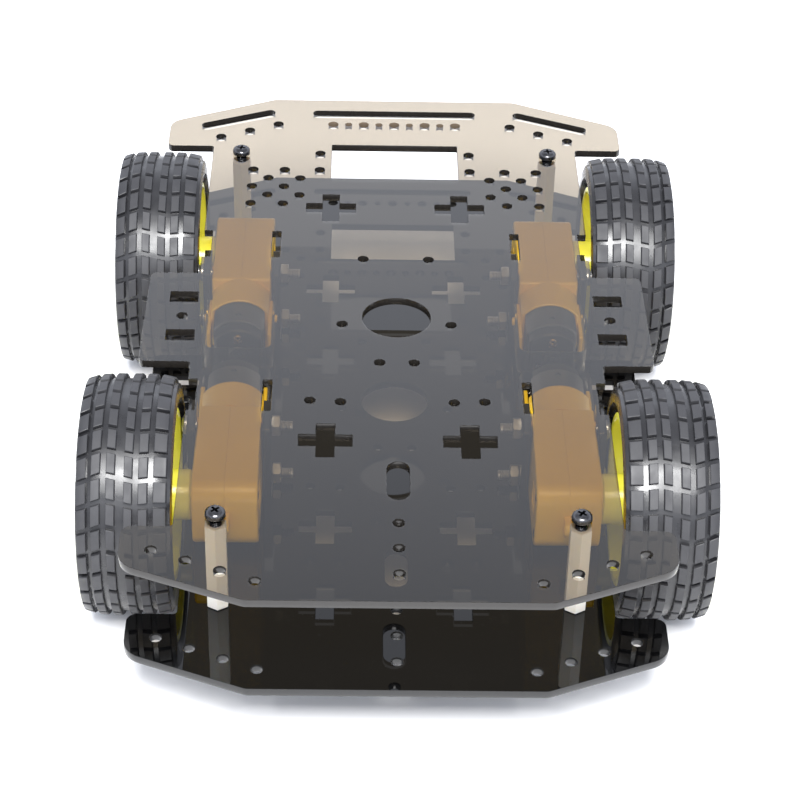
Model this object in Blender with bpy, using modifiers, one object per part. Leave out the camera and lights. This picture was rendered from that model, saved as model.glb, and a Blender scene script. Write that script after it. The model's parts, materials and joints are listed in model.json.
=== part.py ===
"""Four wheel robot chassis: two acrylic decks on hexagonal spacers, four gear motors, four wheels.

The origin is on the floor under the middle of the chassis. +X is its right, +Y its front, +Z up.
Each wheel turns about a line along X through its motor's output shaft.
"""

import math

import bmesh
import bpy
from mathutils import Matrix

MM = 0.001

# Decks
DECK_LENGTH = 251.4 * MM
DECK_THICKNESS = 2.3 * MM
DECK_GAP = 28.0 * MM
FIT_GAP = 0.15 * MM  # air between two pieces that touch

# Wheels
WHEEL_RADIUS = 33.2 * MM
WHEEL_X = 72.45 * MM  # middle plane of a wheel
TYRE_HALF_WIDTH = 12.75 * MM
RIM_HALF_WIDTH = 11.9 * MM
RIM_RADIUS = 22.9 * MM
HUB_RADIUS = 7.0 * MM

# Gear motors, in the motor's own frame: its shaft is at the origin, its nose points to +Y
MOTOR_X = 46.8 * MM
GEARBOX_WIDTH = 18.1 * MM
GEARBOX_HEIGHT = 21.0 * MM
NOSE_Y = 11.3 * MM
BOX_TAIL_Y = -27.4 * MM
HOOD_TAIL_Y = -38.7 * MM
CAN_TAIL_Y = -48.0 * MM
CAP_TAIL_Y = -53.7 * MM
CAN_HALF_WIDTH = 7.5 * MM
CAN_RADIUS = 9.6 * MM
SHAFT_ABOVE_DECK = 11.25 * MM
BOLT_Y = -20.7 * MM
BOLT_SPACING = 16.8 * MM
SHAFT_RADIUS = 2.7 * MM
SHAFT_HALF_FLAT = 1.85 * MM
SHAFT_REACH = 9.2 * MM  # beyond the gearbox's outer side
EAR_REACH = 4.5 * MM  # fixing ear in the middle of the nose
EAR_THICKNESS = 2.6 * MM
EAR_RADIUS = 2.5 * MM
ARM_SIDE = 9.6 * MM  # outer face of the arms that run back along the can
ARM_HALF_HEIGHT = 3.5 * MM
ARM_TAIL_Y = -46.0 * MM
STRAP_THICKNESS = 0.6 * MM

# Brackets: T-shaped plates whose legs stand in slots of the lower deck
SLOT_Y = {"front": 37.05 * MM, "rear": -40.0 * MM}
BRACKET_X = {"inner": 36.3 * MM, "outer": 57.3 * MM}
BRACKET_THICKNESS = 2.3 * MM
SLOT_WIDTH = 2.7 * MM
SLOT_LENGTH = 14.4 * MM
LEG_WIDTH = 14.0 * MM

# Screws and spacers
SCREW_RADIUS = 1.45 * MM
SCREW_HEAD_RADIUS = 2.75 * MM
SCREW_HEAD_HEIGHT = 2.1 * MM
BOLT_HEAD_HEIGHT = 1.6 * MM  # low, to clear the wheel
CLEARANCE_HOLE_RADIUS = 1.6 * MM
PILOT_HOLE_RADIUS = 1.1 * MM
SPACER_ACROSS_FLATS = 5.5 * MM
SPACER_AT = {"front": (49.3 * MM, 90.4 * MM), "rear": (47.7 * MM, -93.0 * MM)}

AXLE_Z = WHEEL_RADIUS
LOWER_TOP = AXLE_Z - SHAFT_ABOVE_DECK
LOWER_BOTTOM = LOWER_TOP - DECK_THICKNESS
UPPER_BOTTOM = LOWER_TOP + DECK_GAP
UPPER_TOP = UPPER_BOTTOM + DECK_THICKNESS

SIDES = {"left": -1, "right": 1}
ENDS = {"front": 1, "rear": -1}
HALF_TURN = math.pi
WHEEL_SEGMENTS = 28  # a multiple of four, so that a corner of the tyre is exactly at its lowest point


# ---------------------------------------------------------------- scene and materials

def clear_scene():
    for thing in list(bpy.data.objects):
        bpy.data.objects.remove(thing, do_unlink=True)


def new_collection(name):
    collection = bpy.data.collections.new(name)
    bpy.context.scene.collection.children.link(collection)
    return collection


def material(name, colour, roughness, metallic=0.0, alpha=1.0):
    made = bpy.data.materials.new(name)
    made.use_nodes = True
    shader = made.node_tree.nodes["Principled BSDF"]
    shader.inputs["Base Color"].default_value = (*colour, 1.0)
    shader.inputs["Roughness"].default_value = roughness
    shader.inputs["Metallic"].default_value = metallic
    shader.inputs["Alpha"].default_value = alpha
    made.diffuse_color = (*colour, alpha)
    return made


clear_scene()
PARTS = new_collection("four_wheel_robot_chassis")
CUTTERS = new_collection("cutters")

BLACK_ACRYLIC = material("black_acrylic", (0.006, 0.006, 0.006), 0.05)
SMOKED_ACRYLIC = material("smoked_acrylic", (0.09, 0.075, 0.065), 0.08, alpha=0.65)
NYLON = material("natural_nylon", (0.82, 0.82, 0.78), 0.4)
BLACK_STEEL = material("black_steel", (0.03, 0.03, 0.035), 0.3, metallic=0.9)
BRIGHT_STEEL = material("bright_steel", (0.6, 0.6, 0.62), 0.3, metallic=1.0)
YELLOW_PLASTIC = material("yellow_plastic", (0.9, 0.72, 0.02), 0.3)
WHITE_PLASTIC = material("white_plastic", (0.85, 0.85, 0.82), 0.35)
CLEAR_PLASTIC = material("clear_plastic", (0.85, 0.87, 0.9), 0.1, alpha=0.35)
TYRE_RUBBER = material("tyre_rubber", (0.03, 0.03, 0.035), 0.55)


# ---------------------------------------------------------------- outlines

def circle(x, y, radius, count=6):
    """Points of a round hole or disc."""
    turn = 2 * math.pi / count
    return [(x + radius * math.cos(turn * i), y + radius * math.sin(turn * i)) for i in range(count)]


def rectangle(x, y, length_x, length_y):
    half_x, half_y = length_x / 2, length_y / 2
    return [(x - half_x, y - half_y), (x + half_x, y - half_y),
            (x + half_x, y + half_y), (x - half_x, y + half_y)]


def slot(x, y, length, width, angle=0.0, steps=3):
    """Points of a slot with round ends; length is from end to end."""
    radius = width / 2
    reach = length / 2 - radius
    points = []
    for end, start in ((1, -math.pi / 2), (-1, math.pi / 2)):
        for i in range(steps + 1):
            bend = start + math.pi * i / steps
            points.append((end * reach + radius * math.cos(bend), radius * math.sin(bend)))
    cosine, sine = math.cos(angle), math.sin(angle)
    return [(x + px * cosine - py * sine, y + px * sine + py * cosine) for px, py in points]


def cross(x, y, span, bar):
    """Points of an upright plus-shaped opening."""
    far, near = span / 2, bar / 2
    quarter = [(near, near), (near, far), (-near, far)]
    points = []
    for turns in range(4):
        angle = turns * math.pi / 2
        points += [(x + px * math.cos(angle) - py * math.sin(angle),
                    y + px * math.sin(angle) + py * math.cos(angle)) for px, py in quarter]
    return points


def rounded(corners, steps=3):
    """Points of a closed outline from (x, y, corner radius) triples."""
    points = []
    for i, (x, y, radius) in enumerate(corners):
        if radius == 0:
            points.append((x, y))
            continue
        before = corners[i - 1]
        after = corners[(i + 1) % len(corners)]
        to_before = math.atan2(before[1] - y, before[0] - x)
        to_after = math.atan2(after[1] - y, after[0] - x)
        opening = (to_after - to_before) % (2 * math.pi)
        if opening > math.pi:
            opening -= 2 * math.pi
        middle = to_before + opening / 2
        centre_distance = radius / math.sin(abs(opening) / 2)
        cx, cy = x + centre_distance * math.cos(middle), y + centre_distance * math.sin(middle)
        sweep = (math.pi - abs(opening)) * (-1 if opening > 0 else 1)
        first = middle + math.pi - sweep / 2
        points += [(cx + radius * math.cos(first + sweep * k / steps),
                    cy + radius * math.sin(first + sweep * k / steps)) for k in range(steps + 1)]
    return points


def mirrored(loop):
    return [(-x, y) for x, y in loop]


# ---------------------------------------------------------------- solids

def place(thing, parent=None, location=(0, 0, 0), rotation=(0, 0, 0)):
    thing.location = location
    thing.rotation_euler = rotation
    if parent:
        thing.parent = parent
    return thing


def outline_curve(name, loops, thickness, collection=PARTS):
    """A flat piece of the given thickness; the first loop is its outline and the others are holes."""
    data = bpy.data.curves.new(name, "CURVE")
    data.dimensions = "2D"
    data.fill_mode = "BOTH"
    data.extrude = thickness / 2
    data.render_resolution_u = 0
    for loop in loops:
        spline = data.splines.new("POLY")
        spline.points.add(len(loop) - 1)
        for point, (x, y) in zip(spline.points, loop):
            point.co = (x, y, 0, 1)
        spline.use_cyclic_u = True
    made = bpy.data.objects.new(name, data)
    collection.objects.link(made)
    return made


def to_mesh(curve):
    """The same piece as a mesh with its caps welded, for Boolean work."""
    bpy.context.view_layer.update()
    evaluated = curve.evaluated_get(bpy.context.evaluated_depsgraph_get())
    data = bpy.data.meshes.new_from_object(evaluated)
    name, matrix = curve.name, curve.matrix_world.copy()
    collection = curve.users_collection[0]
    bpy.data.objects.remove(curve)
    shape = bmesh.new()
    shape.from_mesh(data)
    bmesh.ops.remove_doubles(shape, verts=shape.verts, dist=0.001 * MM)
    bmesh.ops.recalc_face_normals(shape, faces=shape.faces)
    shape.to_mesh(data)
    shape.free()
    made = bpy.data.objects.new(name, data)
    collection.objects.link(made)
    made.matrix_world = matrix
    return made


def mesh_object(name, shape, collection=PARTS):
    data = bpy.data.meshes.new(name)
    shape.to_mesh(data)
    shape.free()
    made = bpy.data.objects.new(name, data)
    collection.objects.link(made)
    return made


def box(name, low, high, collection=PARTS):
    shape = bmesh.new()
    bmesh.ops.create_cube(shape, size=1.0)
    for vertex in shape.verts:
        vertex.co = [low[i] + (vertex.co[i] + 0.5) * (high[i] - low[i]) for i in range(3)]
    return mesh_object(name, shape, collection)


def rod(name, radius, start, end, axis="X", segments=16, flat=None, collection=PARTS):
    """A cylinder along an axis through the origin; flat cuts it to a double-D of that half height."""
    shape = bmesh.new()
    bmesh.ops.create_cone(shape, cap_ends=True, segments=segments, radius1=radius, radius2=radius,
                          depth=end - start)
    for vertex in shape.verts:
        if flat:
            vertex.co.x = max(-flat, min(flat, vertex.co.x))
        vertex.co.z += (start + end) / 2
    if axis == "X":
        bmesh.ops.rotate(shape, verts=shape.verts, matrix=Matrix.Rotation(math.pi / 2, 3, "Y"))
    if axis == "Y":
        bmesh.ops.rotate(shape, verts=shape.verts, matrix=Matrix.Rotation(-math.pi / 2, 3, "X"))
    return mesh_object(name, shape, collection)


def turned(name, profile, segments, axis="X"):
    """A turned piece from (radius, height) points that run down its outer side, around a closed section."""
    data = bpy.data.meshes.new(name)
    count = len(profile)
    shape = bmesh.new()
    ring = [shape.verts.new((radius, 0, height)) for radius, height in profile]
    for i in range(count):
        shape.edges.new((ring[i], ring[(i + 1) % count]))
    shape.to_mesh(data)
    shape.free()
    made = bpy.data.objects.new(name, data)
    PARTS.objects.link(made)
    screw = made.modifiers.new("turn", "SCREW")
    screw.steps = screw.render_steps = segments
    screw.use_merge_vertices = True
    screw.merge_threshold = 0.01 * MM
    if axis == "X":
        made.data.transform(Matrix.Rotation(math.pi / 2, 4, "Y"))
        screw.axis = "X"
    return made


def boolean(target, cutter, operation="DIFFERENCE"):
    cutter.hide_render = True
    cutter.display_type = "WIRE"
    modifier = target.modifiers.new(cutter.name, "BOOLEAN")
    modifier.operation = operation
    modifier.solver = "EXACT"
    modifier.object = cutter


def apply_modifiers(thing):
    """Bakes a shape whose mesh several objects share, and drops its cutters."""
    bpy.context.view_layer.update()
    cutters = [m.object for m in thing.modifiers if m.type == "BOOLEAN"]
    data = bpy.data.meshes.new_from_object(thing.evaluated_get(bpy.context.evaluated_depsgraph_get()))
    thing.modifiers.clear()
    thing.data = data
    for cutter in cutters:
        bpy.data.objects.remove(cutter)
    return data


def finish(thing, material_used, angle=35):
    thing.data.materials.clear()
    thing.data.materials.append(material_used)
    if thing.type == "MESH":
        thing.data.shade_smooth()
        thing.data.set_sharp_from_angle(angle=math.radians(angle))
    return thing


def copy_of(mesh, name):
    made = bpy.data.objects.new(name, mesh)
    PARTS.objects.link(made)
    return made


def empty(name, location, rotation=(0, 0, 0)):
    made = bpy.data.objects.new(name, None)
    made.empty_display_size = 0.02
    PARTS.objects.link(made)
    return place(made, location=location, rotation=rotation)


# ---------------------------------------------------------------- decks

def deck_outline():
    """Right half from the front edge round to the rear edge; the left half is its mirror image."""
    half = DECK_LENGTH / 2
    well = 58.5 * MM
    right = [
        (39.6 * MM, half, 3 * MM),            # front edge ends, bumper slants back
        (73.4 * MM, 110.4 * MM, 6 * MM),      # tip of the front bumper
        (73.4 * MM, 94.8 * MM, 2 * MM),
        (well, 94.8 * MM, 1 * MM),            # front wheel well
        *notch(well, SLOT_Y["front"]),
        (well, 20.8 * MM, 1 * MM),
        (73.2 * MM, 20.8 * MM, 2 * MM),       # ear between the wheels
        (73.2 * MM, -24.5 * MM, 2 * MM),
        (well, -24.5 * MM, 1 * MM),           # rear wheel well
        *notch(well, SLOT_Y["rear"]),
        (well, -97.2 * MM, 1 * MM),
        (71.7 * MM, -97.2 * MM, 3 * MM),      # tip of the rear bumper
        (71.7 * MM, -112.3 * MM, 7 * MM),
        (39.0 * MM, -half, 4 * MM),
    ]
    left = [(-x, y, radius) for x, y, radius in reversed(right)]
    return rounded(right + left)


def notch(edge, middle):
    """The open slot at a well's edge that holds an outer bracket."""
    inside = BRACKET_X["outer"] - SLOT_WIDTH / 2
    top, bottom = middle + SLOT_LENGTH / 2, middle - SLOT_LENGTH / 2
    return [(edge, top, 0), (inside, top, 0), (inside, bottom, 0), (edge, bottom, 0)]


def deck_holes():
    """Every opening of a deck; both decks are cut to the same drawing."""
    pitch = 10.0 * MM
    half = pitch / 2
    pairs = []
    for row in range(5):  # staggered screw field beside the servo window
        shift = 0 if row % 2 == 0 else -half
        pairs += [circle(x + shift, 80.7 * MM - row * 5.05 * MM, CLEARANCE_HOLE_RADIUS)
                  for x in (45.1 * MM, 35.05 * MM)]
    pairs += [circle(23.9 * MM, y, CLEARANCE_HOLE_RADIUS) for y in (91.1 * MM, 80.9 * MM)]
    for i in range(3):  # along the front bumper's slanted slot
        pairs.append(circle((38.0 + 9.2 * i) * MM, (109.5 - 4.25 * i) * MM, CLEARANCE_HOLE_RADIUS))
    for i in range(4):  # along the rear bumper's slant
        pairs.append(circle((36.4 + 9.0 * i) * MM, (-118.3 + 3.87 * i) * MM, CLEARANCE_HOLE_RADIUS))
    for x, y in ((9.85, 29.4), (15.8, -5.0), (4.9, -23.9), (24.3, -42.2), (15.8, -42.7), (62.3, -1.7)):
        pairs.append(circle(x * MM, y * MM, CLEARANCE_HOLE_RADIUS))
    for i in (1, 2):
        pairs.append(circle(i * pitch, 109.8 * MM, CLEARANCE_HOLE_RADIUS))
        pairs.append(circle(i * pitch - half, 109.8 * MM, PILOT_HOLE_RADIUS, 6))
    pairs += [circle(*SPACER_AT[end], CLEARANCE_HOLE_RADIUS, 8) for end in ENDS]
    pairs += [rectangle(BRACKET_X["inner"], SLOT_Y[end], SLOT_WIDTH, SLOT_LENGTH) for end in ENDS]
    pairs += [rectangle(62.3 * MM, y, 8.3 * MM, 5.3 * MM) for y in (8.1 * MM, -11.4 * MM)]
    pairs.append(cross(20.0 * MM, 58.2 * MM, 15.4 * MM, 5.2 * MM))
    pairs.append(cross(19.7 * MM, -60.3 * MM, 14.8 * MM, 5.2 * MM))
    pairs.append(slot(51.2 * MM, 112.6 * MM, 25.4 * MM, 3.2 * MM, math.radians(-23)))
    middle = [circle(0, y * MM, CLEARANCE_HOLE_RADIUS) for y in (109.8, -95.0, -105.0, -115.0)]
    middle += [
        circle(0, -1.4 * MM, 10.0 * MM, 24),
        slot(0, -77.4 * MM, 16.1 * MM, 6.2 * MM, math.pi / 2),
        slot(0, 117.0 * MM, 53.4 * MM, 3.2 * MM),
        rectangle(0, 86.0 * MM, 40.4 * MM, 21.0 * MM),
    ]
    return pairs + [mirrored(loop) for loop in pairs] + middle


def make_decks():
    loops = [deck_outline()] + deck_holes()
    for name, bottom, sheet in (("lower_deck", LOWER_BOTTOM, BLACK_ACRYLIC),
                                ("upper_deck", UPPER_BOTTOM, SMOKED_ACRYLIC)):
        deck = to_mesh(outline_curve(name, loops, DECK_THICKNESS))
        place(finish(deck, sheet, 25), location=(0, 0, bottom + DECK_THICKNESS / 2))


# ---------------------------------------------------------------- spacers and screws

def spacer_mesh():
    radius = SPACER_ACROSS_FLATS / 2 / math.cos(math.pi / 6)
    length = DECK_GAP - 2 * FIT_GAP
    loops = [circle(0, 0, radius, 6), circle(0, 0, SCREW_RADIUS + FIT_GAP, 8)]
    return finish(to_mesh(outline_curve("spacer", loops, length)), NYLON).data


def machine_screw(name, length, head_height, metal, nut_at=None):
    """A pan-head screw along +Z: its head sits below the origin and its shank points up."""
    shape = rod(name, SCREW_HEAD_RADIUS, -head_height, 0, "Z", 12)
    for vertex in shape.data.vertices:
        if vertex.co.z < -head_height / 2:
            vertex.co.xy *= 0.75
    shank = rod(name + "_shank", SCREW_RADIUS, -head_height / 3, length, "Z", 8, collection=CUTTERS)
    boolean(shape, shank, "UNION")
    for half_x, half_y in ((1.3, 0.4), (0.4, 1.3)):
        recess = box(f"{name}_recess_{half_x}", (-half_x * MM, -half_y * MM, -3 * MM),
                     (half_x * MM, half_y * MM, -0.55 * head_height), CUTTERS)
        boolean(shape, recess)
    if nut_at:
        nut = rod(name + "_nut", 3.1 * MM, nut_at, nut_at + 2.4 * MM, "Z", 6, collection=CUTTERS)
        boolean(shape, nut, "UNION")
    apply_modifiers(shape)
    return finish(shape, metal).data


def without_object(make, *arguments, **options):
    """Runs a mesh maker and removes the object it leaves, keeping only the shared mesh."""
    before = set(PARTS.objects)
    mesh = make(*arguments, **options)
    for left_over in set(PARTS.objects) - before:
        bpy.data.objects.remove(left_over)
    return mesh


def make_spacers():
    spacer = without_object(spacer_mesh)
    screw = without_object(machine_screw, "deck_screw", DECK_THICKNESS + 5.5 * MM, SCREW_HEAD_HEIGHT,
                           BLACK_STEEL)
    middle = (LOWER_TOP + UPPER_BOTTOM) / 2
    for end in ENDS:
        for side, sign in SIDES.items():
            x, y = SPACER_AT[end]
            where = (sign * x, y)
            place(copy_of(spacer, f"{end}_{side}_spacer"), location=(*where, middle),
                  rotation=(0, 0, math.pi / 6))
            place(copy_of(screw, f"{end}_{side}_top_screw"), location=(*where, UPPER_TOP + FIT_GAP),
                  rotation=(HALF_TURN, 0, 0))
            place(copy_of(screw, f"{end}_{side}_bottom_screw"), location=(*where, LOWER_BOTTOM - FIT_GAP))


# ---------------------------------------------------------------- motors and brackets

def arch_outline(half_width, radius, steps=4):
    """A round shape with flat sides: the section of the motor can, and of what holds it."""
    lean = math.asin(half_width / radius)
    top = [(radius * math.sin(-lean + 2 * lean * i / steps), radius * math.cos(-lean + 2 * lean * i / steps))
           for i in range(steps + 1)]
    return top + [(-x, -z) for x, z in top]


def along_y(name, outline, start, end, collection=PARTS):
    """A prism of an (x, z) outline between two places along Y."""
    curve = outline_curve(name, [outline], end - start, collection)
    place(curve, location=(0, (start + end) / 2, 0), rotation=(math.pi / 2, 0, 0))
    made = to_mesh(curve)
    made.data.transform(made.matrix_world)
    made.matrix_world = Matrix.Identity(4)
    return made


def side_plate(name, loops, thickness, collection=PARTS):
    """A flat piece that stands across X, from (y, z) loops."""
    curve = outline_curve(name, loops, thickness, collection)
    place(curve, rotation=(math.pi / 2, 0, math.pi / 2))
    made = to_mesh(curve)
    made.data.transform(made.matrix_world)
    made.matrix_world = Matrix.Identity(4)
    return made


def gearbox_mesh():
    """The yellow housing: hollow for the gears, open at the tail for the motor can."""
    half = GEARBOX_HEIGHT / 2
    wall = 1.3 * MM
    nose, tail = 5 * MM, 1 * MM  # corner radii
    section = rounded([(NOSE_Y, -half, nose), (NOSE_Y, half, nose),
                       (BOX_TAIL_Y, half, tail), (BOX_TAIL_Y, -half, tail)])
    body = side_plate("gearbox", [section], GEARBOX_WIDTH)
    ear_middle = NOSE_Y + EAR_REACH - EAR_RADIUS
    ear_outline = slot(ear_middle - EAR_RADIUS, 0, 4 * EAR_RADIUS, 2 * EAR_RADIUS)
    ear_loops = [ear_outline, circle(ear_middle, 0, 1.3 * MM, 8)]
    boolean(body, side_plate("ear", ear_loops, EAR_THICKNESS, CUTTERS), "UNION")
    hood = along_y("hood", arch_outline(8.6 * MM, half), HOOD_TAIL_Y, BOX_TAIL_Y + 2 * MM, CUTTERS)
    boolean(body, hood, "UNION")
    for sign in SIDES.values():
        low_x, high_x = sorted((sign * (CAN_HALF_WIDTH + 2 * FIT_GAP), sign * ARM_SIDE))
        arm = box(f"arm_{sign}", (low_x, ARM_TAIL_Y, -ARM_HALF_HEIGHT),
                  (high_x, BOX_TAIL_Y - 1 * MM, ARM_HALF_HEIGHT), CUTTERS)
        boolean(body, arm, "UNION")
    gears = box("gear_space", (wall - GEARBOX_WIDTH / 2, -13 * MM, wall - half),
                (GEARBOX_WIDTH / 2 - wall, NOSE_Y - wall, half - wall), CUTTERS)
    boolean(body, gears)
    can = along_y("can_space", arch_outline(CAN_HALF_WIDTH + FIT_GAP, CAN_RADIUS + FIT_GAP),
                  HOOD_TAIL_Y - 1 * MM, -27.5 * MM, CUTTERS)
    boolean(body, can)
    boolean(body, rod("pinion_space", 5 * MM, -30 * MM, -11 * MM, "Y", 12, collection=CUTTERS))
    boolean(body, rod("shaft_hole", SHAFT_RADIUS + 0.3 * MM, -12 * MM, 12 * MM, "X", 12, collection=CUTTERS))
    for level in (-1, 1):
        hole = rod(f"bolt_hole_{level}", CLEARANCE_HOLE_RADIUS + 0.1 * MM, -12 * MM, 12 * MM, "X", 8,
                   collection=CUTTERS)
        hole.data.transform(Matrix.Translation((0, BOLT_Y, level * BOLT_SPACING / 2)))
        boolean(body, hole)
    apply_modifiers(body)
    return finish(body, YELLOW_PLASTIC).data


def can_mesh():
    can = along_y("can", arch_outline(CAN_HALF_WIDTH, CAN_RADIUS), CAN_TAIL_Y, -28 * MM)
    cap = along_y("cap", arch_outline(6.8 * MM, 8.8 * MM), CAP_TAIL_Y, CAN_TAIL_Y + 1 * MM, CUTTERS)
    boolean(can, cap, "UNION")
    apply_modifiers(can)
    return finish(can, BRIGHT_STEEL).data


def strap_mesh():
    """The clear strap that hooks on the housing's sides and passes behind the motor's cap."""
    inner = ARM_SIDE + FIT_GAP
    bend = 2.2 * MM
    tail = CAP_TAIL_Y - 0.3 * MM
    side = [(inner, BOX_TAIL_Y - 2 * MM), (inner, tail + bend), (inner - bend, tail)]
    inside = side + [(-x, y) for x, y in reversed(side)]
    outer = inner + STRAP_THICKNESS
    side = [(outer, BOX_TAIL_Y - 2 * MM), (outer, tail + bend), (inner - bend, tail - STRAP_THICKNESS)]
    outside = [(-x, y) for x, y in side] + side[::-1]
    strap = to_mesh(outline_curve("strap", [inside + outside], 8 * MM))
    return finish(strap, CLEAR_PLASTIC).data


def shaft_mesh():
    """A double-D shaft: its inner end is just inside the housing's wall, its outer end holds the wheel."""
    side = GEARBOX_WIDTH / 2
    shaft = rod("shaft", SHAFT_RADIUS, 0.5 * MM - side, side + SHAFT_REACH, "X", 12, flat=SHAFT_HALF_FLAT)
    return finish(shaft, WHITE_PLASTIC).data


def gear_mesh():
    """The last gear of the reduction, pressed on the output shaft."""
    teeth = 18
    root, tip = 7.4 * MM, 8.6 * MM
    outline = []
    for i in range(teeth):
        for share, radius in ((0.0, root), (0.35, root), (0.675, tip)):
            angle = 2 * math.pi * (i + share) / teeth
            outline.append((radius * math.cos(angle), radius * math.sin(angle)))
    bore = circle(0, 0, SHAFT_RADIUS + FIT_GAP, 12)
    bore = [(y, max(-SHAFT_HALF_FLAT - FIT_GAP, min(SHAFT_HALF_FLAT + FIT_GAP, z))) for y, z in bore]
    return finish(side_plate("gear", [outline, bore], 4 * MM), WHITE_PLASTIC).data


def bracket_mesh():
    """A T: its bar lies under the lower deck, its leg stands beside the motor and takes both bolts."""
    bar_top = LOWER_BOTTOM - FIT_GAP - AXLE_Z
    bar_bottom = bar_top - 5 * MM
    top = BOLT_SPACING / 2 + 4.0 * MM
    bar, leg = 11 * MM, LEG_WIDTH / 2
    corners = [(-leg, bar_top, 0), (-leg, top, 1 * MM), (leg, top, 1 * MM), (leg, bar_top, 0),
               (bar, bar_top, 0.5 * MM), (bar, bar_bottom, 1 * MM), (-bar, bar_bottom, 1 * MM),
               (-bar, bar_top, 0.5 * MM)]
    holes = [circle(0, level * BOLT_SPACING / 2, CLEARANCE_HOLE_RADIUS + 0.1 * MM, 8) for level in (-1, 1)]
    loops = [rounded(corners, 2)] + holes
    return finish(side_plate("bracket", loops, BRACKET_THICKNESS), BLACK_ACRYLIC).data


def make_motors():
    gearbox, can, strap = (without_object(make) for make in (gearbox_mesh, can_mesh, strap_mesh))
    bracket = without_object(bracket_mesh)
    outer_face = BRACKET_X["outer"] + BRACKET_THICKNESS / 2 + FIT_GAP
    nut_face = BRACKET_X["inner"] - BRACKET_THICKNESS / 2 - FIT_GAP
    bolt = without_object(machine_screw, "motor_bolt", 29.5 * MM, BOLT_HEAD_HEIGHT, BRIGHT_STEEL,
                          nut_at=outer_face - nut_face)
    for end, forward in ENDS.items():
        axle_y = SLOT_Y[end] - forward * BOLT_Y
        for side, sign in SIDES.items():
            corner = f"{end}_{side}"
            turn = (0, 0, 0 if forward > 0 else HALF_TURN)
            motor = empty(f"{corner}_motor", (sign * MOTOR_X, axle_y, AXLE_Z), turn)
            place(copy_of(gearbox, f"{corner}_gearbox"), motor)
            place(copy_of(can, f"{corner}_motor_can"), motor)
            place(copy_of(strap, f"{corner}_motor_strap"), motor)
            for which, x in BRACKET_X.items():
                place(copy_of(bracket, f"{corner}_{which}_bracket"), location=(sign * x, SLOT_Y[end], AXLE_Z))
            for which, level in (("upper", 1), ("lower", -1)):
                place(copy_of(bolt, f"{corner}_{which}_bolt"), rotation=(0, -sign * math.pi / 2, 0),
                      location=(sign * outer_face, SLOT_Y[end], AXLE_Z + level * BOLT_SPACING / 2))


# ---------------------------------------------------------------- wheels

def rim_mesh():
    """Barrel, web with six windows, and a long hub with a screw hole; +X is the wheel's outer side."""
    barrel_bore = RIM_RADIUS - 1.4 * MM
    hub_start = 56.3 * MM - WHEEL_X
    bore = SHAFT_RADIUS + FIT_GAP
    screw_hole = 1.3 * MM
    bore_end = -6.0 * MM
    profile = [
        (RIM_RADIUS, RIM_HALF_WIDTH), (RIM_RADIUS, -RIM_HALF_WIDTH),
        (barrel_bore + 0.6 * MM, -RIM_HALF_WIDTH),
        (barrel_bore, -2 * MM), (HUB_RADIUS, -2 * MM), (HUB_RADIUS, hub_start), (bore, hub_start),
        (bore, bore_end), (screw_hole, bore_end), (screw_hole, 1 * MM), (barrel_bore, 1 * MM),
        (barrel_bore + 0.6 * MM, RIM_HALF_WIDTH),
    ]
    rim = turned("rim", profile, WHEEL_SEGMENTS)
    near, far = 10.0 * MM, 19.4 * MM
    corners = [(near, -1.8 * MM), (far, -5.6 * MM), (far, 5.6 * MM), (near, 1.8 * MM)]
    for i in range(6):
        window = side_plate(f"window_{i}", [corners], 8 * MM, CUTTERS)
        window.data.transform(Matrix.Rotation(math.pi * i / 3, 4, "X"))
        boolean(rim, window)
    apply_modifiers(rim)
    return finish(rim, YELLOW_PLASTIC).data


def tyre_mesh():
    bead = RIM_RADIUS + FIT_GAP
    bead_half = RIM_HALF_WIDTH - 0.7 * MM
    half = [(WHEEL_RADIUS, 5.6 * MM), (WHEEL_RADIUS - 1.0 * MM, 11.2 * MM), (30.0 * MM, TYRE_HALF_WIDTH),
            (26.6 * MM, TYRE_HALF_WIDTH), (25.4 * MM, RIM_HALF_WIDTH), (bead, bead_half)]
    profile = [(r, -x) for r, x in half]
    profile = [(r, x) for r, x in reversed(half)] + profile
    tyre = turned("tyre", profile, WHEEL_SEGMENTS)
    apply_modifiers(tyre)
    return finish(tyre, TYRE_RUBBER).data


def make_wheels():
    rim, tyre, gear, shaft = (without_object(make) for make in (rim_mesh, tyre_mesh, gear_mesh, shaft_mesh))
    for end, forward in ENDS.items():
        axle_y = SLOT_Y[end] - forward * BOLT_Y
        for side, sign in SIDES.items():
            corner = f"{end}_{side}"
            turn = (0, 0, 0 if sign > 0 else HALF_TURN)
            wheel = empty(f"{corner}_wheel", (sign * WHEEL_X, axle_y, AXLE_Z), turn)
            inwards = MOTOR_X - WHEEL_X
            place(copy_of(rim, f"{corner}_rim"), wheel)
            place(copy_of(tyre, f"{corner}_tyre"), wheel)
            place(copy_of(shaft, f"{corner}_output_shaft"), wheel, location=(inwards, 0, 0))
            place(copy_of(gear, f"{corner}_output_gear"), wheel, location=(inwards, 0, 0))


make_decks()
make_spacers()
make_motors()
make_wheels()
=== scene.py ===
"""Looks of the four wheel robot chassis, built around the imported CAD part.

Every piece is modelled once in its own frame and placed at each corner of the chassis.
+X is the chassis's right, +Y its front and +Z up; lengths are in metres.
"""

import json
from math import asin, atan2, copysign, cos, hypot, pi, radians, sin

import bmesh
import bpy
from mathutils import Matrix, Vector
from mathutils.geometry import tessellate_polygon


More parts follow.
